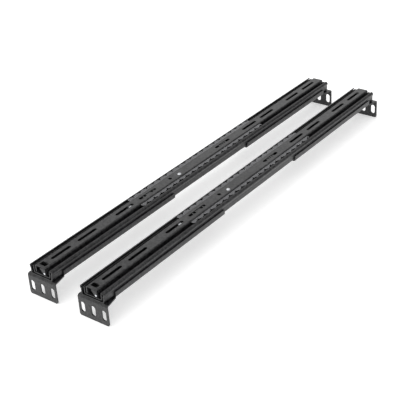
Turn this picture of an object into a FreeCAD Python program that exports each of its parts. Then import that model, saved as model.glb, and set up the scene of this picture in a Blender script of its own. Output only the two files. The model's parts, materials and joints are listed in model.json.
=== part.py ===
import FreeCAD, Part
import math
import os

import Sketcher

# A pair of ball-bearing server slide rails, lying on their sides side by side.
# X runs across the pair, Y along the rails with the front ears at -Y, and Z up from
# the lower edges of the rack ears. Every piece of a rail is drawn in that rail's own
# frame: x from its centre line, y from the outer face of its front ear, z from the floor.

doc = FreeCAD.newDocument("server_rail_pair")

# ---------------------------------------------------------------- driving dimensions

DIMENSIONS = [
    ("rail_pitch", 78.7, "between the centre lines of the two rails"),
    ("ear_span", 616.6, "outer face to outer face of a rail's two ears"),
    ("bracket_sheet", 1.6, "steel sheet of the end brackets"),
    ("bracket_bend", 1.4, "inside bend radius of the brackets"),
    ("bracket_length", 226, "ear face to free end of a bracket"),
    ("ear_width", 44, "one rack unit less its gap"),
    ("ear_height", 28, "lower edge of the ear to the bracket's seat"),
    ("ear_corner", 2.5, "rounded lower corners of the ear"),
    ("ear_taper_start", 4, "ear face to where the web starts to narrow"),
    ("lip_start", 19, "ear face to the start of the side lips"),
    ("lip_height", 6.3, "seat to the lip's upper edge"),
    ("lip_clearance", 0.3, "lip to outer member, each side"),
    ("rack_slot_pitch", 15.875, "rack hole spacing"),
    ("rack_slot_length", 13.8, "end to end"),
    ("rack_slot_width", 6.6, "across"),
    ("rack_slot_rise", 12.7, "lower edge of the ear to the slots' middle"),
    ("stud_start", 40, "ear face to the first adjusting stud"),
    ("stud_spacing", 96, "between the two studs of a bracket"),
    ("stud_diameter", 4, "M4 weld stud"),
    ("stud_tail", 1.2, "thread that stands out of the nut"),
    ("nut_clearance", 0.1, "diameter of a nut's bore over the stud"),
    ("nut_across_flats", 7, "M4 nut"),
    ("nut_depth", 3.2, "M4 nut"),
    ("adjust_travel", 80, "how far a bracket draws out"),
    ("adjust_clearance", 0.4, "width of the adjusting slot over the stud"),
    ("member_setback", 1.7, "front ear face to the front ends of the outer and inner members"),
    ("member_length", 609.6, "outer member"),
    ("outer_sheet", 1.4, "rolled steel of the outer member"),
    ("outer_width", 33.8, "over its straight side walls"),
    ("outer_bend", 1.2, "inside bend radius"),
    ("race_return", 0.35, "flat at the end of the outer race"),
    ("ball_diameter", 3.2, "one eighth inch balls"),
    ("race_clearance", 0.1, "race radius over ball radius"),
    ("outer_ball_offset", 14.85, "centre line to an outer ball row"),
    ("outer_ball_rise", 11.1, "seat to the outer ball rows"),
    ("inner_ball_offset", 10.1, "centre line to an inner ball row"),
    ("ball_pitch", 13.3, "along a cage"),
    ("inner_ball_count", 20, "balls in each row of the inner cage"),
    ("outer_ball_count", 16, "balls in each row of the outer cage"),
    ("cage_shift", -5, "middle of the cages from the middle of the rail, shut"),
    ("cage_sheet", 0.4, "steel strip of the cages"),
    ("cage_rise", 1.2, "outer ball centre to the outer cage's upper edge"),
    ("cage_gap", 0.05, "ball to the side of its pocket"),
    ("cage_flange", 2.5, "ball row to the edge of the inner cage's top flange"),
    ("cage_flange_rise", 14.4, "seat to the top of the inner cage's flange"),
    ("cage_side_gap", 0.3, "inner member's leg to the inner cage's upright strip"),
    ("web_gap", 0.8, "between the outer and intermediate webs"),
    ("intermediate_sheet", 1.4, "rolled steel of the intermediate member"),
    ("intermediate_bend", 1, "inside bend radius"),
    ("intermediate_length", 603.6, "intermediate member"),
    ("lip_curl", 0.85, "height of the wall's edge over the outer ball centre"),
    ("inner_sheet", 1.4, "rolled steel of the inner member"),
    ("inner_width", 17, "over its straight legs"),
    ("inner_bend", 0.6, "inside bend radius"),
    ("inner_rise", 15.6, "seat to the inner member's top face"),
    ("leg_rise", 6.2, "seat to the lower edge of the legs"),
    ("inner_length", 609.3, "inner member"),
    ("slot_width", 4.3, "long mounting slots of the inner member"),
    ("slot_length", 32.5, "end to end"),
    ("slot_near", 19.8, "end of the front pair's first slot from the ear face"),
    ("slot_step", 45, "start to start of two slots that form a pair"),
    ("slot_middle", 133.4, "start of the third slot from the ear face"),
    ("slot_centre", 308.6, "middle of the slot pattern from the ear face"),
    ("window_start", 4.8, "ear face to the front window"),
    ("window_length", 6.8, "along the rail"),
    ("window_width", 10, "across the rail"),
    ("front_tab_width", 8, "tab bent down at the inner member's front end"),
    ("front_tab_offset", 4.5, "middle of the front tab from the centre line"),
    ("front_tab_drop", 8.4, "top face to the tip of the front tab"),
    ("front_tip_width", 2.9, "lower edge of the tapered front tab"),
    ("front_rivet_shank", 1.8, "rivet in the tip of the front tab"),
    ("front_rivet_head", 2.6, "across its head"),
    ("front_rivet_rise", 1.5, "tip of the tab to the rivet's middle"),
    ("stop_rivet_start", 257, "ear face to the stop rivet in the inner member's web"),
    ("stop_rivet_offset", 2.6, "stop rivet from the centre line"),
    ("stop_rivet_shank", 3.6, "through the web"),
    ("stop_rivet_head", 5.4, "across the foot of its head"),
    ("stop_rivet_crown", 3.4, "across the top of its head"),
    ("stop_rivet_rise", 1.1, "height of its head over the web"),
    ("stop_rivet_tail", 4.6, "across the tail under the web"),
    ("stop_rivet_tail_depth", 0.6, "height of the tail under the web"),
    ("pilot_hole", 5, "in the inner member alone"),
    ("pilot_hole_start", 241, "ear face to the pilot hole"),
    ("lever_pin", 1.8, "hinge pin of a lever, across its flats"),
    ("lever_bore", 2.1, "bore of a lever's barrel, across its flats"),
    ("lever_barrel", 3.2, "outside of a lever's barrel, across its flats"),
    ("lever_width", 9.4, "across the rail"),
    ("lever_sheet", 0.8, "steel of the levers and saddles"),
    ("lever_drop", 2.8, "underside of the top web to the hinge pin"),
    ("lever_hook", 2.2, "depth of the hook under the strip"),
    ("saddle_length", 5, "along the rail"),
    ("saddle_play", 0.2, "lever to saddle cheek, each side"),
    ("tab_width", 3.1, "thumb tab that stands in a slot"),
    ("tab_recess", 0.5, "tab under the inner member's top face"),
    ("lock_pin_lead", 17.9, "lock lever's hinge pin to the slot that its tab stands in"),
    ("lock_tab_inset", 13.1, "front end of that slot to the thumb tab"),
    ("lock_tab_length", 10, "along the rail"),
    ("lock_post_length", 2, "small post before and behind the lock lever's tab"),
    ("lock_post_gap", 4, "tab to post"),
    ("release_slot_start", 341.2, "ear face to the release lever's slot"),
    ("release_pin_lead", 6.2, "release lever's hinge pin to that slot"),
    ("release_tab_inset", 8.3, "front end of that slot to the toothed tab"),
    ("release_tab_length", 16, "along the rail"),
    ("release_tooth_count", 4, "teeth of the release lever's tab"),
    ("release_tooth_gap", 1.6, "between two teeth"),
    ("hook_overrun", 4, "strip past the last tab, to the hook"),
    ("outer_bumper_depth", 4.7, "rear bumper of the outer member, along the rail"),
    ("bumper_depth", 4.4, "rear bumper of the intermediate member, along the rail"),
    ("bumper_play", 0.3, "bumper to the member that meets it"),
    ("bumper_rise", 3.2, "height of the outer rear bumper over its web"),
    ("horn_rise", 13, "seat to the top of the outer rear bumper's two horns"),
    ("horn_gap", 0.7, "inner member's leg to a horn"),
    ("bumper_inset", 2.6, "outer bumper's end to the wall's outside, each side"),
    ("block_corner", 0.8, "cut corners of the bumpers and the stop block"),
    ("stop_depth", 7, "inner stop block, along the rail"),
    ("stop_reach", 4.4, "seat to the underside of the inner stop block"),
]

sheet = doc.addObject("Spreadsheet::Sheet", "dims")
for row, (alias, number, note) in enumerate(DIMENSIONS, start=1):
    sheet.set(f"A{row}", alias.replace("_", " "))
    sheet.set(f"B{row}", str(number))
    sheet.setAlias(f"B{row}", alias)
    sheet.set(f"C{row}", note)
doc.recompute()


class Size:
    # A length together with the spreadsheet expression that gives it.
    def __init__(self, text, value):
        self.text = text
        self.value = value

    def __add__(self, other):
        other = as_size(other)
        return Size(f"({self.text} + {other.text})", self.value + other.value)

    def __sub__(self, other):
        other = as_size(other)
        return Size(f"({self.text} - {other.text})", self.value - other.value)

    def __mul__(self, other):
        other = as_size(other)
        return Size(f"({self.text} * {other.text})", self.value * other.value)

    def __truediv__(self, other):
        other = as_size(other)
        return Size(f"({self.text} / {other.text})", self.value / other.value)

    def __neg__(self):
        return Size(f"(0 - {self.text})", -self.value)


def as_size(number):
    return number if isinstance(number, Size) else Size(str(number), float(number))


def size(alias):
    return Size(f"dims.{alias}", float(sheet.get(alias)))


def leg(hypotenuse, other_leg):
    # The other leg of a right triangle: where a circle meets a straight wall.
    square = hypotenuse * hypotenuse - other_leg * other_leg
    return Size(f"sqrt({square.text})", math.sqrt(square.value))


def bind(target, name, length):
    target.setExpression(name, as_size(length).text)


# ---------------------------------------------------------------- drawing helpers


class Arc:
    # An arc that ends the segment before a vertex: centre, radius and turning way.
    def __init__(self, centre, radius, counter_clockwise):
        self.centre = centre
        self.radius = radius
        self.counter_clockwise = counter_clockwise


def mirrored(half):
    # Closes a section that is symmetric about x = 0, from its right-hand half.
    full = list(half)
    for (x, y, _), (_, _, arc) in zip(reversed(half), [(0, 0, None)] + half[::-1]):
        flipped = arc and Arc((-arc.centre[0], arc.centre[1]), arc.radius, arc.counter_clockwise)
        full.append((-x, y, flipped))
    return full


def rounded(corners):
    # Turns corners (x, y, radius) with edges along the axes into vertices with arcs.
    path = []
    for i, (x, y, radius) in enumerate(corners):
        if radius is None:
            path.append((x, y, None))
            continue
        before = corners[i - 1]
        after = corners[(i + 1) % len(corners)]
        along_x = abs(before[1].value - y.value) < 1e-9
        towards_before = before[0].value - x.value if along_x else before[1].value - y.value
        towards_after = after[1].value - y.value if along_x else after[0].value - x.value
        step_in = radius if towards_before > 0 else -radius
        step_out = radius if towards_after > 0 else -radius
        if along_x:
            enter, leave, centre = (x + step_in, y), (x, y + step_out), (x + step_in, y + step_out)
        else:
            enter, leave, centre = (x, y + step_in), (x + step_out, y), (x + step_out, y + step_in)
        turn = (leave[0].value - enter[0].value) * (centre[1].value - enter[1].value)
        turn -= (leave[1].value - enter[1].value) * (centre[0].value - enter[0].value)
        path.append((*enter, None))
        path.append((*leave, Arc(centre, radius, turn > 0)))
    return path


def draw(sketch, path):
    # Draws a closed path of vertices (x, y, arc) and fixes each one to the sheet.
    first = sketch.GeometryCount
    shapes, ends = [], []
    for i, (x, y, arc) in enumerate(path):
        start = FreeCAD.Vector(path[i - 1][0].value, path[i - 1][1].value, 0)
        end = FreeCAD.Vector(x.value, y.value, 0)
        if arc is None:
            shapes.append(Part.LineSegment(start, end))
            ends.append((1, 2))
            continue
        centre = FreeCAD.Vector(arc.centre[0].value, arc.centre[1].value, 0)
        circle = Part.Circle(centre, FreeCAD.Vector(0, 0, 1), arc.radius.value)
        low, high = (start, end) if arc.counter_clockwise else (end, start)
        angles = [math.atan2(p.y - centre.y, p.x - centre.x) for p in (low, high)]
        if angles[1] <= angles[0]:
            angles[1] += 2 * math.pi
        shapes.append(Part.ArcOfCircle(circle, *angles))
        ends.append((1, 2) if arc.counter_clockwise else (2, 1))
    sketch.addGeometry(shapes, False)
    constraints, bound = [], []
    for i, (x, y, arc) in enumerate(path):
        j = (i + 1) % len(path)
        end = (first + i, ends[i][1])
        constraints.append(Sketcher.Constraint("Coincident", *end, first + j, ends[j][0]))
        for kind, length, axis in (("DistanceX", x, -2), ("DistanceY", y, -1)):
            if abs(length.value) < 1e-9:
                constraints.append(Sketcher.Constraint("PointOnObject", *end, axis))
            else:
                bound.append((len(constraints), length))
                constraints.append(Sketcher.Constraint(kind, *end, length.value))
        if arc is not None:
            # The ends are fixed, so one coordinate of the centre settles the arc.
            wide = abs(x.value - path[i - 1][0].value) > abs(y.value - path[i - 1][1].value)
            kind, axis = ("DistanceY", -1) if wide else ("DistanceX", -2)
            length = arc.centre[1 if wide else 0]
            if abs(length.value) < 1e-9:
                constraints.append(Sketcher.Constraint("PointOnObject", first + i, 3, axis))
            else:
                bound.append((len(constraints), length))
                constraints.append(Sketcher.Constraint(kind, first + i, 3, length.value))
    offset = sketch.ConstraintCount
    sketch.addConstraint(constraints)
    for index, length in bound:
        bind(sketch, f"Constraints[{offset + index}]", length)


def box_path(x0, x1, y0, y1):
    return [(x0, y0, None), (x1, y0, None), (x1, y1, None), (x0, y1, None)]


def slot_path(x, y0, y1, width):
    # A slot along the sketch's second axis, with round ends.
    radius = width / 2
    low, high = y0 + radius, y1 - radius
    return [
        (x + radius, low, Arc((x, low), radius, True)),
        (x + radius, high, None),
        (x - radius, high, Arc((x, high), radius, True)),
        (x - radius, low, None),
    ]


def ring_path(x, y, across_flats, sides):
    # A small round of few flats, so that repeated small parts stay light.
    radius = across_flats / (2 * math.cos(math.pi / sides))
    turns = [2 * math.pi * (i + 0.5) / sides for i in range(sides)]
    return [(x + radius * round(math.cos(turn), 6), y + radius * round(math.sin(turn), 6), None)
            for turn in turns]


def draw_circle(sketch, x, y, diameter):
    index = sketch.GeometryCount
    centre = FreeCAD.Vector(x.value, y.value, 0)
    sketch.addGeometry(Part.Circle(centre, FreeCAD.Vector(0, 0, 1), diameter.value / 2), False)
    for kind, length, axis in (("DistanceX", x, -2), ("DistanceY", y, -1)):
        if abs(length.value) < 1e-9:
            sketch.addConstraint(Sketcher.Constraint("PointOnObject", index, 3, axis))
        else:
            place = sketch.addConstraint(Sketcher.Constraint(kind, index, 3, length.value))
            bind(sketch, f"Constraints[{place}]", length)
    width = sketch.addConstraint(Sketcher.Constraint("Diameter", index, diameter.value))
    bind(sketch, f"Constraints[{width}]", diameter)


parts = []  # every sub-part that is written out


def set_rail_place(target, side, flipped=False):
    # Puts a sub-part that is drawn in the rail's frame at its rail, or turned end for end.
    way = -1 if side == "left" else 1
    bind(target, "Placement.Base.x", size("rail_pitch") / 2 * way)
    bind(target, "Placement.Base.y", size("ear_span") / 2 * (1 if flipped else -1))
    if flipped:
        target.setExpression("Placement.Rotation.Angle", "180")
    parts.append(target)


def new_body(label):
    body = doc.addObject("PartDesign::Body", label)
    body.Label = label
    return body


def new_sketch(body, role, offset=None):
    sketch = body.newObject("Sketcher::SketchObject", f"{body.Label}_sketch")
    plane = next(p for p in body.Origin.OriginFeatures if p.Role == role)
    sketch.AttachmentSupport = [(plane, "")]
    sketch.MapMode = "FlatFace"
    if offset is not None:
        bind(sketch, "AttachmentOffset.Base.z", offset)
    return sketch


def pad(body, sketch, length, reverse=False, both_ways=False):
    feature = body.newObject("PartDesign::Pad", f"{body.Label}_pad")
    feature.Profile = sketch
    bind(feature, "Length", length)
    feature.Reversed = reverse
    if both_ways:
        feature.SideType = "Symmetric"
    return feature


def pocket(body, sketch, length, both_ways=False):
    # A pocket that removes nothing is an error, so its volume is compared.
    doc.recompute()
    before = body.Shape.Volume
    feature = body.newObject("PartDesign::Pocket", f"{body.Label}_pocket")
    feature.Profile = sketch
    bind(feature, "Length", length)
    if both_ways:
        feature.SideType = "Symmetric"
    doc.recompute()
    if body.Shape.Volume > before - 1e-3:
        raise RuntimeError(f"{feature.Name} cuts nothing")
    return feature


def section_pad(body, path, start, length):
    # Pads a section drawn across the rail, from y = start towards the rear.
    sketch = new_sketch(body, "XZ_Plane", -start)
    draw(sketch, path)
    return pad(body, sketch, length, reverse=True)


# ---------------------------------------------------------------- shared places

SIDES = ("left", "right")

seat = size("ear_height")  # the plane that the slides lie on
ball_radius = size("ball_diameter") / 2
race = ball_radius + size("race_clearance")

outer_row = (size("outer_ball_offset"), seat + size("outer_ball_rise"))
row_distance = race * 2 + size("intermediate_sheet")
row_step = leg(row_distance, size("outer_ball_offset") - size("inner_ball_offset"))
inner_row = (size("inner_ball_offset"), outer_row[1] - row_step)

outer_front = size("member_setback")
outer_rear = outer_front + size("member_length")
outer_floor = seat + size("outer_sheet")
intermediate_rear = outer_rear - size("outer_bumper_depth") - size("bumper_play")
intermediate_front = intermediate_rear - size("intermediate_length")
intermediate_base = outer_floor + size("web_gap")
intermediate_floor = intermediate_base + size("intermediate_sheet")
inner_front = outer_front
inner_rear = inner_front + size("inner_length")
inner_top = seat + size("inner_rise")
inner_ceiling = inner_top - size("inner_sheet")

lock_slot = size("slot_middle") + size("slot_step")  # where the lock lever's tab stands
release_slot = size("release_slot_start")
front_rivet = (size("front_tab_offset") + size("front_tab_width") / 2 - size("front_tip_width") / 2,
               inner_top - size("front_tab_drop") + size("front_rivet_rise"))

stop_rivet = (size("stop_rivet_offset"), size("stop_rivet_start"))

cage_middle = size("ear_span") / 2 + size("cage_shift")
stud_places = (size("stud_start"), size("stud_start") + size("stud_spacing"))
cut_margin = as_size(1)  # how far a cutting sketch stands off the face it cuts


# ---------------------------------------------------------------- sliding members


def outer_half():
    # Right-hand half of the outer section: web, straight wall and the race over it.
    wall = size("outer_width") / 2
    inside = wall - size("outer_sheet")
    bend = size("outer_bend")
    round_out = bend + size("outer_sheet")
    race_out = race + size("outer_sheet")
    x, z = outer_row
    lip = x - size("race_return")
    return [
        (wall - round_out, seat, None),
        (wall, seat + round_out, Arc((wall - round_out, seat + round_out), round_out, True)),
        (wall, z - leg(race_out, wall - x), None),
        (x, z + race_out, Arc(outer_row, race_out, True)),
        (lip, z + race_out, None),
        (lip, z + race, None),
        (x, z + race, None),
        (inside, z - leg(race, inside - x), Arc(outer_row, race, False)),
        (inside, outer_floor + bend, None),
        (inside - bend, outer_floor, Arc((inside - bend, outer_floor + bend), bend, False)),
    ]


def intermediate_half():
    # The wall hugs the inner ball row from outside and then leans away under the
    # outer row: two tangent arcs, at one sheet thickness all the way.
    bend = size("intermediate_bend")
    round_out = bend + size("intermediate_sheet")
    wide = race + size("intermediate_sheet")
    (xo, zo), (xi, zi) = outer_row, inner_row
    inside, wall = xi + race, xi + wide
    run, rise = (xo - xi) / row_distance, row_step / row_distance
    curl_x, curl_z = leg(race, size("lip_curl")), size("lip_curl")
    stretch = wide / race
    base, floor = intermediate_base, intermediate_floor
    return [
        (wall - round_out, base, None),
        (wall, base + round_out, Arc((wall - round_out, base + round_out), round_out, True)),
        (wall, zi, None),
        (xi + wide * run, zi + wide * rise, Arc(inner_row, wide, True)),
        (xo - curl_x, zo + curl_z, Arc(outer_row, race, False)),
        (xo - curl_x * stretch, zo + curl_z * stretch, None),
        (xi + race * run, zi + race * rise, Arc(outer_row, wide, True)),
        (inside, zi, Arc(inner_row, race, False)),
        (inside, floor + bend, None),
        (inside - bend, floor, Arc((inside - bend, floor + bend), bend, False)),
    ]


def inner_half():
    # Right-hand half of the inner section: a channel with its web up, legs down.
    wall = size("inner_width") / 2
    inside = wall - size("inner_sheet")
    bend = size("inner_bend")
    round_out = bend + size("inner_sheet")
    wide = race + size("inner_sheet")
    x, z = inner_row
    bottom = seat + size("leg_rise")
    reach_out, reach_in = leg(race, x - wall), leg(wide, x - inside)
    return [
        (inside - bend, inner_ceiling, None),
        (inside, inner_ceiling - bend, Arc((inside - bend, inner_ceiling - bend), bend, False)),
        (inside, z + reach_in, None),
        (inside, z - reach_in, Arc(inner_row, wide, True)),
        (inside, bottom, None),
        (wall, bottom, None),
        (wall, z - reach_out, None),
        (wall, z + reach_out, Arc(inner_row, race, False)),
        (wall, inner_top - round_out, None),
        (wall - round_out, inner_top, Arc((wall - round_out, inner_top - round_out), round_out, True)),
    ]


def slot_starts():
    # Front ends of the inner member's long slots: four, and their mirror images.
    near = size("slot_near")
    front = [near, near + size("slot_step"), size("slot_middle"), lock_slot]
    turned = [size("slot_centre") * 2 - start - size("slot_length") for start in front]
    return front + turned[::-1]


def make_outer_member(side):
    body = new_body(f"{side}_outer_member")
    section_pad(body, mirrored(outer_half()), outer_front, size("member_length"))
    set_rail_place(body, side)


def make_intermediate_member(side):
    body = new_body(f"{side}_intermediate_member")
    section_pad(body, mirrored(intermediate_half()), intermediate_front, size("intermediate_length"))
    set_rail_place(body, side)


def make_inner_member(side):
    body = new_body(f"{side}_inner_member")
    section_pad(body, mirrored(inner_half()), inner_front, size("inner_length"))
    tab_view = new_sketch(body, "YZ_Plane", size("front_tab_offset"))
    metal, bend = size("inner_sheet"), size("inner_bend")
    tip = inner_top - size("front_tab_drop")
    draw(tab_view, rounded([
        (inner_front + bend * 2, inner_top, None),
        (inner_front - metal, inner_top, bend + metal),
        (inner_front - metal, tip, None),
        (inner_front, tip, None),
        (inner_front, inner_ceiling, bend),
        (inner_front + bend * 2, inner_ceiling, None),
    ]))
    pad(body, tab_view, size("front_tab_width"), both_ways=True)
    tab_left = size("front_tab_offset") - size("front_tab_width") / 2
    tip_left = tab_left + size("front_tab_width") - size("front_tip_width")
    taper = new_sketch(body, "XZ_Plane", cut_margin)
    draw(taper, [
        (tab_left - cut_margin, inner_ceiling - bend, None),
        (tab_left - cut_margin, tip - cut_margin, None),
        (tip_left, tip - cut_margin, None),
        (tip_left, tip, None),
        (tab_left, inner_ceiling - bend, None),
    ])
    draw(taper, ring_path(*front_rivet, size("front_rivet_shank"), 12))
    pocket(body, taper, cut_margin + inner_front)

    cuts = new_sketch(body, "XY_Plane", inner_top + cut_margin)
    for start in slot_starts():
        draw(cuts, slot_path(as_size(0), start, start + size("slot_length"), size("slot_width")))
    draw(cuts, ring_path(*stop_rivet, size("stop_rivet_shank"), 12))
    draw_circle(cuts, as_size(0), size("pilot_hole_start"), size("pilot_hole"))
    half_window = size("window_width") / 2
    window_end = size("window_start") + size("window_length")
    draw(cuts, box_path(-half_window, half_window, size("window_start"), window_end))
    release_end = release_slot + size("slot_length")
    draw(cuts, slot_path(as_size(0), release_slot, release_end, size("slot_width")))
    pocket(body, cuts, size("inner_sheet") + cut_margin * 2)
    set_rail_place(body, side)


def make_rivets(side):
    # The rivet in the front tab's tip, and the stop rivet in the web.
    front = new_body(f"{side}_front_rivet")
    tab_face = inner_front - size("inner_sheet")
    section_pad(front, ring_path(*front_rivet, size("front_rivet_head"), 12), as_size(0), tab_face)
    section_pad(front, ring_path(*front_rivet, size("front_rivet_shank"), 12), tab_face,
                size("inner_sheet"))
    set_rail_place(front, side)

    stop = new_body(f"{side}_stop_rivet")
    tail_low = inner_ceiling - size("stop_rivet_tail_depth")
    for part_name, low, high in (("tail", tail_low, inner_ceiling),
                                 ("shank", inner_ceiling, inner_top),
                                 ("head", inner_top, inner_top + size("stop_rivet_rise"))):
        round_view = new_sketch(stop, "XY_Plane", low)
        draw(round_view, ring_path(*stop_rivet, size(f"stop_rivet_{part_name}"), 12))
        feature = pad(stop, round_view, high - low)
    slope = (size("stop_rivet_head") - size("stop_rivet_crown")) / 2 / size("stop_rivet_rise")
    bind(feature, "TaperAngle", Size(f"-atan({slope.text})", -math.degrees(math.atan(slope.value))))
    set_rail_place(stop, side)


# ---------------------------------------------------------------- ball cages


def cage_reach(name):
    length = size("ball_pitch") * size(f"{name}_ball_count")
    return cage_middle - length / 2, length


def make_cage(side, name, outline, row):
    # One thin strip folded into a channel, with a pocket for each ball open at the top.
    body = new_body(f"{side}_{name}_ball_cage")
    start, length = cage_reach(name)
    section_pad(body, outline, start, length)
    pocket_sketch = new_sketch(body, "YZ_Plane")
    first_ball = start + size("ball_pitch") / 2
    reach = ball_radius + size("cage_gap")
    draw(pocket_sketch, box_path(first_ball - reach, first_ball + reach, row[1] - reach, inner_top))
    cut = pocket(body, pocket_sketch, size("outer_width"), both_ways=True)
    pattern = body.newObject("PartDesign::LinearPattern", f"{body.Label}_pattern")
    pattern.Originals = [cut]
    pattern.Direction = (pocket_sketch, ["H_Axis"])
    pattern.Mode = "Spacing"
    bind(pattern, "Offset", size("ball_pitch"))
    bind(pattern, "Occurrences", size(f"{name}_ball_count"))
    body.Tip = pattern
    set_rail_place(body, side)


def outer_cage_half():
    # An upright strip at the outer ball rows, joined under the intermediate member.
    half = size("cage_sheet") / 2
    x, low = outer_row[0], outer_floor + size("web_gap") / 2 - half
    top = outer_row[1] + size("cage_rise")
    return [
        (x - half, low, None),
        (x + half, low + half * 2, None),
        (x + half, top, None),
        (x - half, top, None),
        (x - half, low + half * 2, None),
    ]


def inner_cage_half():
    # An upright strip beside the inner member's leg, with a flange out over the balls.
    metal = size("cage_sheet")
    x = size("inner_width") / 2 + size("cage_side_gap")
    low, top = intermediate_floor + metal / 2, seat + size("cage_flange_rise")
    edge = inner_row[0] + size("cage_flange")
    return [
        (x, low, None),
        (x + metal, low + metal, None),
        (x + metal, top - metal, None),
        (edge, top - metal, None),
        (edge, top, None),
        (x, top, None),
        (x, low + metal, None),
    ]


def bead(radius):
    # A ball with few faces, whose six corners lie on the real ball's surface.
    corners = [FreeCAD.Vector(*way) * radius for way in
               ((1, 0, 0), (0, 1, 0), (-1, 0, 0), (0, -1, 0), (0, 0, 1), (0, 0, -1))]
    faces = []
    for i in range(4):
        for tip in corners[4:]:
            ring = [corners[i], corners[(i + 1) % 4], tip, corners[i]]
            faces.append(Part.Face(Part.makePolygon(ring)))
    return Part.makeSolid(Part.makeShell(faces))


def make_balls(side, name, row):
    node = doc.addObject("Part::Feature", f"{side}_{name}_balls")
    ball = bead(ball_radius.value)
    balls = []
    for i in range(round(size(f"{name}_ball_count").value)):
        y = cage_reach(name)[0].value + (i + 0.5) * size("ball_pitch").value
        for x in (-row[0].value, row[0].value):
            balls.append(ball.translated(FreeCAD.Vector(x, y, row[1].value)))
    node.Shape = Part.makeCompound(balls)
    set_rail_place(node, side)


# ---------------------------------------------------------------- end brackets


def make_bracket(side, end):
    # One pressing for both ends: the rear one is the front one turned end for end.
    body = new_body(f"{side}_{end}_bracket")
    metal, bend = size("bracket_sheet"), size("bracket_bend")
    round_out = bend + metal
    under = seat - metal
    lip_in = size("outer_width") / 2 + size("lip_clearance")
    lip_out = lip_in + metal
    half_ear = size("ear_width") / 2
    zero = as_size(0)

    ear_side = new_sketch(body, "YZ_Plane")
    draw(ear_side, rounded([
        (zero, zero, None),
        (metal, zero, None),
        (metal, under, bend),
        (size("lip_start"), under, None),
        (size("lip_start"), seat, None),
        (zero, seat, round_out),
    ]))
    pad(body, ear_side, size("ear_width"), both_ways=True)

    section_pad(body, rounded([
        (-lip_out, under, round_out),
        (lip_out, under, round_out),
        (lip_out, seat + size("lip_height"), None),
        (lip_in, seat + size("lip_height"), None),
        (lip_in, seat, bend),
        (-lip_in, seat, bend),
        (-lip_in, seat + size("lip_height"), None),
        (-lip_out, seat + size("lip_height"), None),
    ]), size("lip_start"), size("bracket_length") - size("lip_start"))

    taper = new_sketch(body, "XY_Plane", seat + cut_margin)
    far = half_ear + cut_margin
    for way in (1, -1):
        draw(taper, [
            (half_ear * way, size("ear_taper_start"), None),
            (far * way, size("ear_taper_start"), None),
            (far * way, size("lip_start"), None),
            (lip_out * way, size("lip_start"), None),
        ])
    pocket(body, taper, metal + cut_margin * 2)

    slots = new_sketch(body, "XZ_Plane", cut_margin)
    rise, reach = size("rack_slot_rise"), size("rack_slot_length") / 2
    for step in (-1, 0, 1):
        middle = size("rack_slot_pitch") * step
        draw(slots, slot_path(middle, rise - reach, rise + reach, size("rack_slot_width")))
    pocket(body, slots, metal + cut_margin * 2)

    corners = new_sketch(body, "XZ_Plane", cut_margin)
    radius = size("ear_corner")
    outside, start = half_ear + cut_margin, half_ear - radius
    for way in (1, -1):
        draw(corners, [
            (outside * way, -cut_margin, None),
            (outside * way, radius, None),
            (half_ear * way, radius, None),
            (start * way, zero, Arc((start * way, radius), radius, way < 0)),
            (start * way, -cut_margin, None),
        ])
    pocket(body, corners, metal + cut_margin * 2)

    tracks = new_sketch(body, "XY_Plane", seat + cut_margin)
    width = size("stud_diameter") + size("adjust_clearance")
    for place in stud_places:
        draw(tracks, slot_path(zero, place - width / 2, place + size("adjust_travel") + width / 2, width))
    pocket(body, tracks, metal + cut_margin * 2)
    set_rail_place(body, side, flipped=(end == "rear"))


# ---------------------------------------------------------------- studs and nuts


def prism(name, sides, diameter, height, y, z):
    # An upright prism on the rail's centre line; its corners lie on the given diameter.
    shape = doc.addObject("Part::Prism", name)
    shape.Polygon = sides
    bind(shape, "Circumradius", diameter / 2)
    bind(shape, "Height", height)
    bind(shape, "Placement.Base.y", y)
    bind(shape, "Placement.Base.z", z)
    return shape


def group(name, pieces, side):
    compound = doc.addObject("Part::Compound", name)
    compound.Links = pieces
    set_rail_place(compound, side)


def make_fasteners(side, end):
    # Studs welded under the outer member, each with a nut under the bracket.
    prefix = f"{side}_{end}_bracket"
    places = stud_places
    if end == "rear":
        places = [size("ear_span") - place for place in stud_places]
    nut_base = seat - size("bracket_sheet") - size("nut_depth")
    stud_base = nut_base - size("stud_tail")
    bore = size("stud_diameter") + size("nut_clearance")
    across_corners = size("nut_across_flats") * 2 / math.sqrt(3)
    studs, nuts = [], []
    for number, y in enumerate(places, start=1):
        mark = f"{prefix}_{number}"
        studs.append(prism(f"{mark}_stud", 12, size("stud_diameter"), seat - stud_base, y, stud_base))
        nut = doc.addObject("Part::Cut", f"{mark}_nut")
        nut.Base = prism(f"{mark}_hexagon", 6, across_corners, size("nut_depth"), y, nut_base)
        nut.Tool = prism(f"{mark}_bore", 12, bore, size("nut_depth"), y, nut_base)
        nuts.append(nut)
    group(f"{prefix}_studs", studs, side)
    group(f"{prefix}_nuts", nuts, side)


# ---------------------------------------------------------------- levers under the web


def lock_tabs():
    # Places and lengths of the tabs from the front end of their slot.
    start, length = size("lock_tab_inset"), size("lock_tab_length")
    post, gap = size("lock_post_length"), size("lock_post_gap")
    return [(start - gap - post, post), (start, length), (start + length + gap, post)]


def release_tabs():
    count, gap = size("release_tooth_count"), size("release_tooth_gap")
    pitch = (size("release_tab_length") + gap) / count
    return [(size("release_tab_inset") + pitch * i, pitch - gap) for i in range(round(count.value))]


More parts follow.
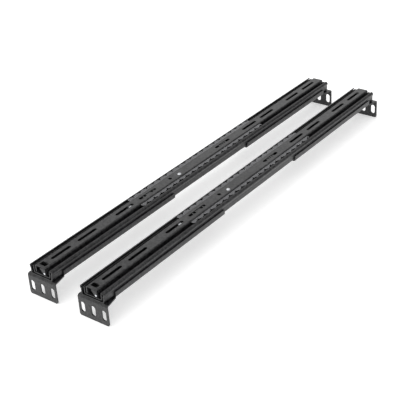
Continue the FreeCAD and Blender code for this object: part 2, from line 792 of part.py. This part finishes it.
def make_lever(side, name, slot_start, tabs):
    # A strip that hinges on a cross pin under the web, with tabs that stand in a slot.
    pin_y = slot_start - size(f"{name}_pin_lead")
    pin_z = inner_ceiling - size("lever_drop")
    last_start, last_length = tabs[-1]
    hook_end = slot_start + last_start + last_length + size("hook_overrun")
    strip_top = pin_z + size("lever_barrel") / 2
    strip_low = strip_top - size("lever_sheet")

    lever = new_body(f"{side}_{name}_lever")
    side_view = new_sketch(lever, "YZ_Plane")
    draw(side_view, [
        (pin_y, strip_low, None),
        (hook_end - size("lever_sheet"), strip_low, None),
        (hook_end - size("lever_sheet"), strip_low - size("lever_hook"), None),
        (hook_end, strip_low - size("lever_hook"), None),
        (hook_end, strip_top, None),
        (pin_y, strip_top, None),
    ])
    pad(lever, side_view, size("lever_width"), both_ways=True)
    barrel = new_sketch(lever, "YZ_Plane")
    draw(barrel, ring_path(pin_y, pin_z, size("lever_barrel"), 8))
    pad(lever, barrel, size("lever_width"), both_ways=True)
    tab_view = new_sketch(lever, "YZ_Plane")
    tab_top = inner_top - size("tab_recess")
    for start, length in tabs:
        tab_start = slot_start + start
        draw(tab_view, box_path(tab_start, tab_start + length, strip_low, tab_top))
    pad(lever, tab_view, size("tab_width"), both_ways=True)
    bore = new_sketch(lever, "YZ_Plane")
    draw(bore, ring_path(pin_y, pin_z, size("lever_bore"), 8))
    pocket(lever, bore, size("lever_width") + cut_margin * 2, both_ways=True)
    set_rail_place(lever, side)

    saddle = new_body(f"{side}_{name}_saddle")
    cheek_in = size("lever_width") / 2 + size("saddle_play")
    cheek_out = cheek_in + size("lever_sheet")
    foot = pin_z - size("lever_barrel") / 2
    section_pad(saddle, rounded([
        (cheek_out, foot, None),
        (cheek_out, inner_ceiling, None),
        (-cheek_out, inner_ceiling, None),
        (-cheek_out, foot, None),
        (-cheek_in, foot, None),
        (-cheek_in, inner_ceiling - size("lever_sheet"), None),
        (cheek_in, inner_ceiling - size("lever_sheet"), None),
        (cheek_in, foot, None),
    ]), pin_y - size("saddle_length") / 2, size("saddle_length"))
    pin_hole = new_sketch(saddle, "YZ_Plane")
    draw(pin_hole, ring_path(pin_y, pin_z, size("lever_pin"), 8))
    pocket(saddle, pin_hole, (cheek_out + cut_margin) * 2, both_ways=True)
    set_rail_place(saddle, side)

    pin = new_body(f"{side}_{name}_pin")
    pin_round = new_sketch(pin, "YZ_Plane")
    draw(pin_round, ring_path(pin_y, pin_z, size("lever_pin"), 8))
    pad(pin, pin_round, cheek_out * 2, both_ways=True)
    set_rail_place(pin, side)


# ---------------------------------------------------------------- bumpers and stop


def make_block(side, name, half_width, y_start, depth, low, high):
    # A moulded block across the rail, with its upper corners cut off.
    body = new_body(f"{side}_{name}")
    cut = size("block_corner")
    section_pad(body, mirrored([
        (half_width, low, None),
        (half_width, high - cut, None),
        (half_width - cut, high, None),
    ]), y_start, depth)
    set_rail_place(body, side)


def make_outer_bumper(side):
    # A block on the outer web, with a horn on each side of the inner member.
    body = new_body(f"{side}_outer_rear_bumper")
    cut = size("block_corner")
    half_width = size("outer_width") / 2 - size("bumper_inset")
    horn_in = size("inner_width") / 2 + size("horn_gap")
    horn_top = seat + size("horn_rise")
    section_pad(body, mirrored([
        (half_width, outer_floor, None),
        (half_width, horn_top - cut, None),
        (half_width - cut, horn_top, None),
        (horn_in, horn_top, None),
        (horn_in, outer_floor + size("bumper_rise"), None),
    ]), intermediate_rear + size("bumper_play"), size("outer_bumper_depth"))
    set_rail_place(body, side)


def make_stops(side):
    # The rear bumper on the intermediate web, and the block that meets it.
    depth, play = size("bumper_depth"), size("bumper_play")
    half_intermediate = size("inner_ball_offset") + race - size("intermediate_bend")
    under_legs = seat + size("leg_rise") - play
    make_block(side, "intermediate_rear_bumper", half_intermediate, intermediate_rear - depth,
               depth, intermediate_floor, under_legs)
    between_legs = size("inner_ball_offset") - race - size("inner_sheet")
    stop_y = intermediate_rear - depth - play - size("stop_depth")
    make_block(side, "inner_stop_block", between_legs - play / 2, stop_y,
               size("stop_depth"), seat + size("stop_reach"), inner_ceiling)


for side in SIDES:
    make_outer_member(side)
    make_intermediate_member(side)
    make_inner_member(side)
    make_cage(side, "outer", mirrored(outer_cage_half()), outer_row)
    make_cage(side, "inner", mirrored(inner_cage_half()), inner_row)
    make_balls(side, "outer", outer_row)
    make_balls(side, "inner", inner_row)
    for end in ("front", "rear"):
        make_bracket(side, end)
        make_fasteners(side, end)
    make_rivets(side)
    make_lever(side, "lock", lock_slot, lock_tabs())
    make_lever(side, "release", release_slot, release_tabs())
    make_outer_bumper(side)
    make_stops(side)

doc.recompute()

# ---------------------------------------------------------------- checks and export

for item in doc.Objects:
    if "Invalid" in item.State or "Error" in item.State:
        raise RuntimeError(f"{item.Label} failed: {item.State}")

os.makedirs("parts", exist_ok=True)
for part in parts:
    if part.Shape.isNull() or not part.Shape.isValid():
        raise RuntimeError(f"{part.Label} has no valid shape")
for part in parts:
    part.Shape.exportStep(os.path.join("parts", f"{part.Label}.step"))
    box = part.Shape.BoundBox
    print(f"{part.Label}: {len(part.Shape.Solids)} solids, x {box.XMin:.2f}..{box.XMax:.2f}, "
          f"y {box.YMin:.2f}..{box.YMax:.2f}, z {box.ZMin:.2f}..{box.ZMax:.2f}")
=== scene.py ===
# A pair of black telescopic rack slides on a pale studio floor.
import bpy
import json
import math
from mathutils import Matrix, Vector

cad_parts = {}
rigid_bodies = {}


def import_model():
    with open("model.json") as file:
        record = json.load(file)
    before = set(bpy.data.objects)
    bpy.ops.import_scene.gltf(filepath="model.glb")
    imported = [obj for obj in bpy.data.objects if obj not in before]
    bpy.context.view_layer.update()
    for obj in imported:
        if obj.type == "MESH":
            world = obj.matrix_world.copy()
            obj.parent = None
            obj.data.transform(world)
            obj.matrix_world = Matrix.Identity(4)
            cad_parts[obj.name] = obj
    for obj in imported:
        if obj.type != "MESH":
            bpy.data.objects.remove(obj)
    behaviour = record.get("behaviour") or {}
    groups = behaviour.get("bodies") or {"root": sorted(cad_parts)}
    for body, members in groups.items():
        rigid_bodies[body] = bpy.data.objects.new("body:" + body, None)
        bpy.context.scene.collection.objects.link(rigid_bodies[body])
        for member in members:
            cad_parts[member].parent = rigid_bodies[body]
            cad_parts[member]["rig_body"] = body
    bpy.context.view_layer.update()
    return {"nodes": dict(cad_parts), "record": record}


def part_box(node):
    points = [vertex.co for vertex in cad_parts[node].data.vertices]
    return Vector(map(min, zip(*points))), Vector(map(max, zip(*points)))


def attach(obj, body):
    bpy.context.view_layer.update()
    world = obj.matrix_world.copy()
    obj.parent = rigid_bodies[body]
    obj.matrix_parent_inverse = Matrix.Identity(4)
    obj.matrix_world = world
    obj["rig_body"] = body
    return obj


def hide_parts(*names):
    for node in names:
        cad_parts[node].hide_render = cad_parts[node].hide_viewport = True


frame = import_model()
sides = ("left", "right")
mm = 0.001
near = 0.01 * mm              # points closer than this count as one


# small helpers

def deselectAll():
    if bpy.context.object and bpy.context.object.mode != "OBJECT":
        bpy.ops.object.mode_set(mode="OBJECT")
    bpy.ops.object.select_all(action="DESELECT")


def makeActive(piece):
    deselectAll()
    piece.select_set(True)
    bpy.context.view_layer.objects.active = piece


def editAll(piece):
    makeActive(piece)
    bpy.ops.object.mode_set(mode="EDIT")
    bpy.ops.mesh.select_all(action="SELECT")


def finishModifier(piece, kind, **settings):
    makeActive(piece)
    modifier = piece.modifiers.new(kind.title(), kind)
    for name, value in settings.items():
        setattr(modifier, name, value)
    bpy.ops.object.modifier_apply(modifier=modifier.name)


def hexToLinear(text):
    values = [int(text[i:i + 2], 16) / 255 for i in (1, 3, 5)]
    return [v / 12.92 if v <= 0.04045 else ((v + 0.055) / 1.055) ** 2.4 for v in values] + [1.0]


def addNode(tree, kind, settings=None, **inputs):
    # adds a node, sets its fields, then sets or links each input, by name or as input0, input1
    node = tree.nodes.new(kind)
    for name, value in (settings or {}).items():
        setattr(node, name, value)
    for name, value in inputs.items():
        isNumbered = name.startswith("input")
        socket = node.inputs[int(name[5:]) if isNumbered else name.replace("_", " ")]
        if isinstance(value, bpy.types.NodeSocket):
            tree.links.new(value, socket)
        else:
            socket.default_value = value
    return node


def newMaterial(name):
    material = bpy.data.materials.new(name)
    material.use_nodes = True
    tree = material.node_tree
    shader = tree.nodes["Principled BSDF"]
    place = addNode(tree, "ShaderNodeTexCoord").outputs["Object"]
    return material, tree, shader, place


# selecting and cutting in edit mode

def choose(piece, test):
    # selects the vertices that pass, with the edges and faces between them
    bpy.ops.object.mode_set(mode="OBJECT")
    mesh = piece.data
    for vertex in mesh.vertices:
        vertex.select = test(vertex.co)
    for edge in mesh.edges:
        edge.select = all(mesh.vertices[i].select for i in edge.vertices)
    for face in mesh.polygons:
        face.select = all(mesh.vertices[i].select for i in face.vertices)
    bpy.ops.object.mode_set(mode="EDIT")


def deleteFaces(piece, test):
    # removes the faces whose middle passes
    bpy.ops.object.mode_set(mode="OBJECT")
    for items in (piece.data.vertices, piece.data.edges):
        for item in items:
            item.select = False
    for face in piece.data.polygons:
        face.select = test(face.center)
    bpy.ops.object.mode_set(mode="EDIT")
    bpy.ops.mesh.delete(type="FACE")


def extrudeBy(x, y, z):
    bpy.ops.mesh.extrude_region_move(TRANSFORM_OT_translate={"value": (x, y, z)})


def cutAt(place, way):
    bpy.ops.mesh.select_all(action="SELECT")
    bpy.ops.mesh.bisect(plane_co=place, plane_no=way)


# materials

edgeMaskSettings = {"samples": 4, "flat": 0.995, "sharp": 0.85}   # cosines of the surface's turn


def edgeWearAndHighlight(tree, reach):
    # 0 on flat metal, 1 where the surface turns within reach: worn edges on the coat, and on the
    # cage lighter edges that are partly bare steel and partly a painted highlight
    edge = addNode(tree, "ShaderNodeBevel", {"samples": edgeMaskSettings["samples"]}, Radius=reach)
    flat = addNode(tree, "ShaderNodeNewGeometry")
    turn = addNode(tree, "ShaderNodeVectorMath", {"operation": "DOT_PRODUCT"},
                   input0=edge.outputs["Normal"], input1=flat.outputs["Normal"])
    wearAndHighlightMask = addNode(tree, "ShaderNodeMapRange", Value=turn.outputs["Value"],
                   From_Min=edgeMaskSettings["flat"], From_Max=edgeMaskSettings["sharp"])
    return wearAndHighlightMask.outputs["Result"]


steelPaint = {
    "colour": "#08080a",
    "wornColour": "#363637",
    "roughness": (0.27, 0.35),
    "cloud": 22.0,            # broad changes of gloss, per metre
    "cloudRange": (0.3, 0.7),
    "grain": 2.8 * mm,        # orange peel of the dipped coat, drawn coarse so it shows
    "grainHeight": 0.03 * mm,
    "grainStrength": 0.35,
    "grainRange": (0.42, 0.6),
    "mottle": 0.7,            # how far the grain takes colour towards wornColour
    "edge": 0.35 * mm,
}


def electrocoatedSteel():
    # cathodic dip coat on rolled sheet: near black, satin, orange peel, thin on cut edges
    material, tree, shader, place = newMaterial("electrocoatedSteel")
    size = steelPaint
    peel = addNode(tree, "ShaderNodeTexNoise", Vector=place, Scale=1 / size["grain"],
                   Detail=2.0, Roughness=0.5)
    cloud = addNode(tree, "ShaderNodeTexNoise", Vector=place, Scale=size["cloud"], Detail=4.0,
                    Roughness=0.6)
    gloss = addNode(tree, "ShaderNodeMapRange", Value=cloud.outputs["Fac"],
                    From_Min=size["cloudRange"][0], From_Max=size["cloudRange"][1],
                    To_Min=size["roughness"][0], To_Max=size["roughness"][1])
    tint = addNode(tree, "ShaderNodeMapRange", Value=peel.outputs["Fac"],
                   From_Min=size["grainRange"][0], From_Max=size["grainRange"][1])
    shade = addNode(tree, "ShaderNodeMath", {"operation": "MULTIPLY"},
                    input0=tint.outputs["Result"], input1=size["mottle"])
    lighter = addNode(tree, "ShaderNodeMath", {"operation": "MAXIMUM"},
                      input0=shade.outputs["Value"], input1=edgeWearAndHighlight(tree, size["edge"]))
    colour = addNode(tree, "ShaderNodeMix", {"data_type": "RGBA"},
                     Factor=lighter.outputs["Value"], input6=hexToLinear(size["colour"]),
                     input7=hexToLinear(size["wornColour"]))
    bump = addNode(tree, "ShaderNodeBump", Height=peel.outputs["Fac"],
                   Strength=size["grainStrength"], Distance=size["grainHeight"])
    tree.links.new(colour.outputs[2], shader.inputs["Base Color"])
    tree.links.new(gloss.outputs["Result"], shader.inputs["Roughness"])
    tree.links.new(bump.outputs["Normal"], shader.inputs["Normal"])
    shader.inputs["IOR"].default_value = 1.5
    return material


zincPlate = {
    "colour": "#d9dbde",
    "roughness": (0.24, 0.42),
    "spangle": 1.2 * mm,
    "stretch": (1.0, 0.12, 1.0),   # streaks along Y, as the strip was rolled
    "relief": 0.01 * mm,
    "reliefStrength": 0.1,
}


def zincPlatedSteel():
    # bright zinc on pressed parts: pale grey metal, faint streaks of the strip's rolling
    material, tree, shader, place = newMaterial("zincPlatedSteel")
    streak = addNode(tree, "ShaderNodeMapping", Vector=place, Scale=zincPlate["stretch"])
    grain = addNode(tree, "ShaderNodeTexNoise", Vector=streak.outputs["Vector"],
                    Scale=1 / zincPlate["spangle"], Detail=4.0)
    gloss = addNode(tree, "ShaderNodeMapRange", Value=grain.outputs["Fac"],
                    To_Min=zincPlate["roughness"][0], To_Max=zincPlate["roughness"][1])
    bump = addNode(tree, "ShaderNodeBump", Height=grain.outputs["Fac"],
                   Strength=zincPlate["reliefStrength"], Distance=zincPlate["relief"])
    tree.links.new(gloss.outputs["Result"], shader.inputs["Roughness"])
    tree.links.new(bump.outputs["Normal"], shader.inputs["Normal"])
    shader.inputs["Base Color"].default_value = hexToLinear(zincPlate["colour"])
    shader.inputs["Metallic"].default_value = 1.0
    return material


bearingSteel = {
    "colour": "#d8dadd",
    "roughness": (0.08, 0.24),
    "film": 900.0,            # patches of grease, per metre
}


def polishedBearingSteel():
    # hardened chrome steel balls: mirror bright under a film of grease
    material, tree, shader, place = newMaterial("polishedBearingSteel")
    film = addNode(tree, "ShaderNodeTexNoise", Vector=place, Scale=bearingSteel["film"],
                   Detail=2.0)
    gloss = addNode(tree, "ShaderNodeMapRange", Value=film.outputs["Fac"],
                    To_Min=bearingSteel["roughness"][0], To_Max=bearingSteel["roughness"][1])
    tree.links.new(gloss.outputs["Result"], shader.inputs["Roughness"])
    shader.inputs["Base Color"].default_value = hexToLinear(bearingSteel["colour"])
    shader.inputs["Metallic"].default_value = 1.0
    return material


cageStrip = {
    "colour": "#68686a",
    # pale edge colour: bare punched steel, and partly a painted highlight standing in for glints
    # on the cage
    "bareEdgeAndHighlightColour": "#d8d9db",
    "edge": 0.25 * mm,
    "roughness": (0.26, 0.4),
    "cloud": 2 * mm,
}


def phosphatedStrip():
    # thin phosphated and oiled strip: dark grey metal, lighter along its punched edges, partly
    # bare steel and partly a painted highlight standing in for glints
    material, tree, shader, place = newMaterial("phosphatedStrip")
    cloud = addNode(tree, "ShaderNodeTexNoise", Vector=place, Scale=1 / cageStrip["cloud"],
                    Detail=3.0)
    gloss = addNode(tree, "ShaderNodeMapRange", Value=cloud.outputs["Fac"],
                    To_Min=cageStrip["roughness"][0], To_Max=cageStrip["roughness"][1])
    # painted highlight: the punched edges mix towards the pale edge colour, which is partly bare
    # steel
    colour = addNode(tree, "ShaderNodeMix", {"data_type": "RGBA"},
                     Factor=edgeWearAndHighlight(tree, cageStrip["edge"]),
                     input6=hexToLinear(cageStrip["colour"]),
                     input7=hexToLinear(cageStrip["bareEdgeAndHighlightColour"]))
    tree.links.new(colour.outputs[2], shader.inputs["Base Color"])
    tree.links.new(gloss.outputs["Result"], shader.inputs["Roughness"])
    shader.inputs["Metallic"].default_value = 1.0
    return material


nylon = {
    "colour": "#1b1b1c",
    "roughness": (0.55, 0.7),
    "spark": 0.25 * mm,
    "relief": 0.02 * mm,
    "reliefStrength": 0.3,
}


def mouldedNylon():
    # black glass-filled nylon: matt, fine spark texture from the mould
    material, tree, shader, place = newMaterial("mouldedNylon")
    spark = addNode(tree, "ShaderNodeTexNoise", Vector=place, Scale=1 / nylon["spark"],
                    Detail=3.0)
    gloss = addNode(tree, "ShaderNodeMapRange", Value=spark.outputs["Fac"],
                    To_Min=nylon["roughness"][0], To_Max=nylon["roughness"][1])
    bump = addNode(tree, "ShaderNodeBump", Height=spark.outputs["Fac"],
                   Strength=nylon["reliefStrength"], Distance=nylon["relief"])
    tree.links.new(gloss.outputs["Result"], shader.inputs["Roughness"])
    tree.links.new(bump.outputs["Normal"], shader.inputs["Normal"])
    shader.inputs["Base Color"].default_value = hexToLinear(nylon["colour"])
    shader.inputs["IOR"].default_value = 1.53
    return material


finishes = {
    "black_steel": electrocoatedSteel(),
    "zinc_steel": zincPlatedSteel(),
    "ball_steel": polishedBearingSteel(),
    "phosphated_steel": phosphatedStrip(),
    "black_nylon": mouldedNylon(),
}
slotOf = {entry["node"]: entry["material_slot"] for entry in frame["record"]["subparts"]}


def paint(piece, slotName):
    piece.data.materials.clear()
    piece.data.materials.append(finishes[slotName])


def standFor(piece, nodeName):
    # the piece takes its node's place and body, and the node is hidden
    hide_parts(nodeName)
    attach(piece, frame["nodes"][nodeName]["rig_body"])


for name, node in frame["nodes"].items():
    paint(node, slotOf[name])
print("materials ready")


# pressed, turned and moulded parts, copied from their nodes and given broken edges

edging = {
    "weld": 0.002 * mm,
    "flat": math.radians(0.5),     # faces closer than this to one plane become one face
    "width": 0.15 * mm,
    "sharpest": math.radians(38),
}
edgedParts = ("outer_member", "intermediate_member", "inner_member", "front_bracket",
              "rear_bracket", "lock_lever", "release_lever", "lock_saddle", "release_saddle",
              "outer_ball_cage", "front_bracket_nuts", "rear_bracket_nuts", "front_rivet",
              "outer_rear_bumper", "intermediate_rear_bumper", "inner_stop_block")


def brokenEdges(nodeName):
    source = frame["nodes"][nodeName]
    piece = source.copy()
    piece.data = source.data.copy()
    piece.name = nodeName + "_sheet"
    bpy.context.scene.collection.objects.link(piece)
    for key in list(piece.keys()):
        del piece[key]
    piece.parent = None
    editAll(piece)
    bpy.ops.mesh.remove_doubles(threshold=edging["weld"])
    bpy.ops.mesh.dissolve_limited(angle_limit=edging["flat"])
    bpy.ops.object.mode_set(mode="OBJECT")
    finishModifier(piece, "BEVEL", width=edging["width"], segments=2, limit_method="ANGLE",
                   angle_limit=edging["sharpest"], use_clamp_overlap=True)
    finishModifier(piece, "TRIANGULATE")
    makeActive(piece)
    bpy.ops.object.shade_smooth_by_angle(angle=edging["sharpest"])
    finishModifier(piece, "WEIGHTED_NORMAL", weight=100, keep_sharp=True)
    standFor(piece, nodeName)


for side in sides:
    for part in edgedParts:
        brokenEdges(f"{side}_{part}")
print("edged parts ready")


# bearing balls

ball = {"radius": 1.6 * mm, "around": 12, "rings": 8}


def ballRows(nodeName):
    # one smooth ball at each bead's middle
    makeActive(frame["nodes"][nodeName])
    bpy.ops.object.duplicate()
    loose = bpy.context.object
    loose.parent = None
    editAll(loose)
    bpy.ops.mesh.remove_doubles(threshold=edging["weld"])
    bpy.ops.mesh.separate(type="LOOSE")
    bpy.ops.object.mode_set(mode="OBJECT")
    beads = list(bpy.context.selected_objects)
    balls = []
    for bead in beads:
        corners = [Vector(corner) for corner in bead.bound_box]
        middle = sum(corners, Vector()) / len(corners)
        deselectAll()
        bpy.ops.mesh.primitive_uv_sphere_add(segments=ball["around"], ring_count=ball["rings"],
                                             radius=ball["radius"], location=middle)
        balls.append(bpy.context.object)
    for bead in beads:
        bpy.data.objects.remove(bead)
    deselectAll()
    for item in balls:
        item.select_set(True)
    bpy.context.view_layer.objects.active = balls[0]
    bpy.ops.object.join()
    piece = bpy.context.object
    bpy.ops.object.transform_apply(location=True, rotation=True, scale=True)
    piece.name = nodeName + "_smooth"
    bpy.ops.object.shade_smooth()
    paint(piece, slotOf[nodeName])
    standFor(piece, nodeName)


for side in sides:
    ballRows(f"{side}_outer_balls")
    ballRows(f"{side}_inner_balls")
print("balls ready")


# inner ball cages: one folded and punched strip, with a tab and a lug for each ball

cage = {
    "balls": 20,
    "sheet": 0.4 * mm,
    "strip": 9.0 * mm,          # middle of the rail to the upright strip
    "window": 1.65 * mm,        # half length of a ball's hole
    "windowEdges": (36.75 * mm, 40.05 * mm),   # its lower and upper edge
    "lead": -3.3 * mm,          # a lug's middle against its ball
    "notch": 1.2 * mm,          # half width of the cut between two tabs
    "notchRoot": 10.6 * mm,
    "lug": 3.1 * mm,            # half width where it leaves the tab
    "lugTip": 0.3,              # tip against root
    "lugReach": (1.3 * mm, -0.1 * mm),
}


def firstPitch(nodeName):
    # places on the stretch of cage round the first ball
    low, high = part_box(nodeName)
    pitch = (high.y - low.y) / cage["balls"]
    ballAt = low.y + pitch / 2
    lugAt = ballAt + cage["lead"]
    return {
        "middle": (low.x + high.x) / 2,
        "reach": (high.x - low.x) / 2,
        "pitch": pitch,
        "floor": low.z + cage["sheet"] / 2,
        "top": high.z - cage["sheet"] / 2,
        "ball": ballAt,
        "lug": lugAt,
        "notch": lugAt + pitch / 2,
    }


def foldStrip(piece, at):
    # floor, upright strip and top flange of half a cage
    editAll(piece)
    bpy.ops.transform.resize(value=(cage["strip"], at["pitch"], 1))
    bpy.ops.transform.translate(value=(cage["strip"] / 2, at["ball"], at["floor"]))
    choose(piece, lambda p: p.x > cage["strip"] - near)
    extrudeBy(0, 0, at["top"] - at["floor"])
    choose(piece, lambda p: p.z > at["top"] - near)
    extrudeBy(at["reach"] - cage["strip"], 0, 0)


def punchStrip(piece, at):
    # cuts a ball's hole and the notch between two tabs, then draws out the lug
    windowLow, windowHigh = cage["windowEdges"]
    for place, half in (("notch", cage["notch"]), ("lug", cage["lug"]), ("ball", cage["window"])):
        for sign in (-1, 1):
            cutAt((0, at[place] + sign * half, 0), (0, 1, 0))
    for rise in cage["windowEdges"]:
        cutAt((0, 0, rise), (0, 0, 1))
    cutAt((cage["notchRoot"], 0, 0), (1, 0, 0))
    deleteFaces(piece, lambda p: abs(p.y - at["ball"]) < cage["window"]
                and windowLow < p.z < windowHigh)
    deleteFaces(piece, lambda p: p.x > cage["notchRoot"]
                and abs(p.y - at["notch"]) < cage["notch"])
    choose(piece, lambda p: p.x > at["reach"] - near
           and abs(p.y - at["lug"]) < cage["lug"] + near)
    extrudeBy(cage["lugReach"][0], 0, cage["lugReach"][1])
    bpy.ops.transform.resize(value=(1, cage["lugTip"], 1), center_override=(0, at["lug"], 0))
    bpy.ops.object.mode_set(mode="OBJECT")


def innerCage(nodeName):
    at = firstPitch(nodeName)
    deselectAll()
    bpy.ops.mesh.primitive_plane_add(size=1)
    piece = bpy.context.object
    piece.name = nodeName + "_punched"
    foldStrip(piece, at)
    punchStrip(piece, at)
    finishModifier(piece, "ARRAY", count=cage["balls"], use_relative_offset=False,
                   use_constant_offset=True, constant_offset_displace=(0, at["pitch"], 0),
                   use_merge_vertices=True, merge_threshold=near)
    finishModifier(piece, "MIRROR", use_mirror_merge=True, merge_threshold=near)
    finishModifier(piece, "SOLIDIFY", thickness=cage["sheet"], offset=0, use_even_offset=True)
    editAll(piece)
    bpy.ops.transform.translate(value=(at["middle"], 0, 0))
    bpy.ops.mesh.normals_make_consistent(inside=False)
    bpy.ops.object.mode_set(mode="OBJECT")
    bpy.ops.object.transform_apply(location=True, rotation=True, scale=True)
    paint(piece, slotOf[nodeName])
    standFor(piece, nodeName)


for side in sides:
    innerCage(f"{side}_inner_ball_cage")
print("ball cages ready")


# stop rivets, each a domed head on a shank that is clenched under the web

rivet = {
    "around": 24,
    "rings": 12,
    "shank": 3.6 * mm,
    "tail": 4.6 * mm,
    "tailRise": 0.6 * mm,
}


def stopRivet(side):
    nodeName = side + "_stop_rivet"
    low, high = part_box(nodeName)
    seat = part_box(side + "_inner_member")[1].z
    radius = (high.x - low.x) / 2
    middle = ((low.x + high.x) / 2, (low.y + high.y) / 2, seat)
    deselectAll()
    bpy.ops.mesh.primitive_uv_sphere_add(segments=rivet["around"], ring_count=rivet["rings"],
                                         radius=radius, location=middle)
    bpy.ops.object.transform_apply(location=True, rotation=True, scale=True)
    piece = bpy.context.object
    piece.name = nodeName + "_domed"
    editAll(piece)
    bpy.ops.mesh.bisect(plane_co=middle, plane_no=(0, 0, 1), clear_inner=True)
    bpy.ops.mesh.select_all(action="SELECT")
    bpy.ops.transform.resize(value=(1, 1, (high.z - seat) / radius), center_override=middle)
    choose(piece, lambda p: p.z < seat + near)
    width = radius
    for newWidth, drop in ((rivet["shank"] / 2, low.z + rivet["tailRise"] - seat),
                           (rivet["tail"] / 2, -rivet["tailRise"])):
        extrudeBy(0, 0, 0)
        ratio = newWidth / width
        bpy.ops.transform.resize(value=(ratio, ratio, 1), center_override=middle)
        extrudeBy(0, 0, drop)
        width = newWidth
    bpy.ops.mesh.edge_face_add()
    bpy.ops.mesh.select_all(action="SELECT")
    bpy.ops.mesh.normals_make_consistent(inside=False)
    bpy.ops.object.mode_set(mode="OBJECT")
    bpy.ops.object.shade_smooth_by_angle(angle=edging["sharpest"])
    paint(piece, slotOf[nodeName])
    standFor(piece, nodeName)


for side in sides:
    stopRivet(side)
print("rivets ready")


# floor, light and camera

studio = {
    "floorColour": "#f4f4f4",
    "floorReach": 6.0,
    "floorRoughness": 0.9,
    "floorGloss": 0.1,
    "floorGlow": 0.4,            # a light table, so the shadows under the rails stay pale
    "room": 1.0,
    "backWall": 0.22,
    # ways in which the room is dark, each with the cosines between which it darkens
    "darkWays": (((-0.45, 0.78, 0.43), (0.62, 0.9)),
                 ((0.68, 0.7, 0.2), (0.86, 0.97)),
                 ((-0.8, 0.6, 0.0), (0.86, 0.97))),
    "overheadBox": {"place": (-0.5, -0.6, 2.4), "size": 1.2, "power": 10.0},
    "backPanel": {"place": (-1.06, 1.47, 0.94), "size": 1.7, "power": 8.0},
}


def studioFloor():
    deselectAll()
    bpy.ops.mesh.primitive_plane_add(size=studio["floorReach"], location=(0, 0, 0))
    floor = bpy.context.object
    floor.name = "studioFloor"
    material, _, shader, _ = newMaterial("palePaper")
    shader.inputs["Base Color"].default_value = hexToLinear(studio["floorColour"])
    shader.inputs["Roughness"].default_value = studio["floorRoughness"]
    shader.inputs["Specular IOR Level"].default_value = studio["floorGloss"]
    shader.inputs["Emission Color"].default_value = (1, 1, 1, 1)
    shader.inputs["Emission Strength"].default_value = studio["floorGlow"]
    floor.data.materials.append(material)


def softbox(name):
    lamp = studio[name]
    bpy.ops.object.light_add(type="AREA", location=lamp["place"])
    box = bpy.context.object
    box.name = name
    box.data.size = lamp["size"]
    box.data.energy = lamp["power"]
    box.visible_camera = False
    box.rotation_euler = (-Vector(lamp["place"])).to_track_quat("-Z", "Y").to_euler()


def roomWall(tree, way, darkWay, turn):
    # strength of the room's light, which falls to backWall towards darkWay
    towards = addNode(tree, "ShaderNodeVectorMath", {"operation": "DOT_PRODUCT"}, input0=way,
                      input1=Vector(darkWay).normalized())
    wall = addNode(tree, "ShaderNodeMapRange", {"interpolation_type": "SMOOTHSTEP"},
                   Value=towards.outputs["Value"], From_Min=turn[0], From_Max=turn[1],
                   To_Min=studio["room"], To_Max=studio["backWall"])
    return wall.outputs["Result"]


def softRoom():
    world = bpy.data.worlds.new("softRoom")
    world.use_nodes = True
    tree = world.node_tree
    way = addNode(tree, "ShaderNodeTexCoord").outputs["Generated"]
    strength, *others = [roomWall(tree, way, *dark) for dark in studio["darkWays"]]
    for wall in others:
        darker = addNode(tree, "ShaderNodeMath", {"operation": "MINIMUM"}, input0=strength,
                         input1=wall)
        strength = darker.outputs["Value"]
    # the camera sees a pale wall all round; the dark parts of the room only show in the steel
    camera = addNode(tree, "ShaderNodeLightPath").outputs["Is Camera Ray"]
    seen = addNode(tree, "ShaderNodeMath", {"operation": "MAXIMUM"}, input0=strength,
                   input1=camera)
    background = tree.nodes["Background"]
    background.inputs["Color"].default_value = (1, 1, 1, 1)
    tree.links.new(seen.outputs["Value"], background.inputs["Strength"])
    bpy.context.scene.world = world


view = {
    "place": (698.2 * mm, -928.8 * mm, 667.2 * mm),
    "across": (0.79934, 0.59819, -0.05678),
    "upward": (-0.26225, 0.43233, 0.86274),
    "lens": 89.5,
    "sensor": 36.0,
}


def studioCamera():
    across = Vector(view["across"]).normalized()
    backward = across.cross(Vector(view["upward"])).normalized()
    upward = backward.cross(across)
    data = bpy.data.cameras.new("studioCamera")
    data.lens = view["lens"]
    data.sensor_width = view["sensor"]
    camera = bpy.data.objects.new("studioCamera", data)
    bpy.context.scene.collection.objects.link(camera)
    turn = Matrix((across, upward, backward)).transposed().to_4x4()
    camera.matrix_world = Matrix.Translation(view["place"]) @ turn
    bpy.context.scene.camera = camera


studioFloor()
softRoom()
softbox("overheadBox")
softbox("backPanel")
studioCamera()
bpy.context.scene.view_settings.view_transform = "Standard"
print("studio ready")
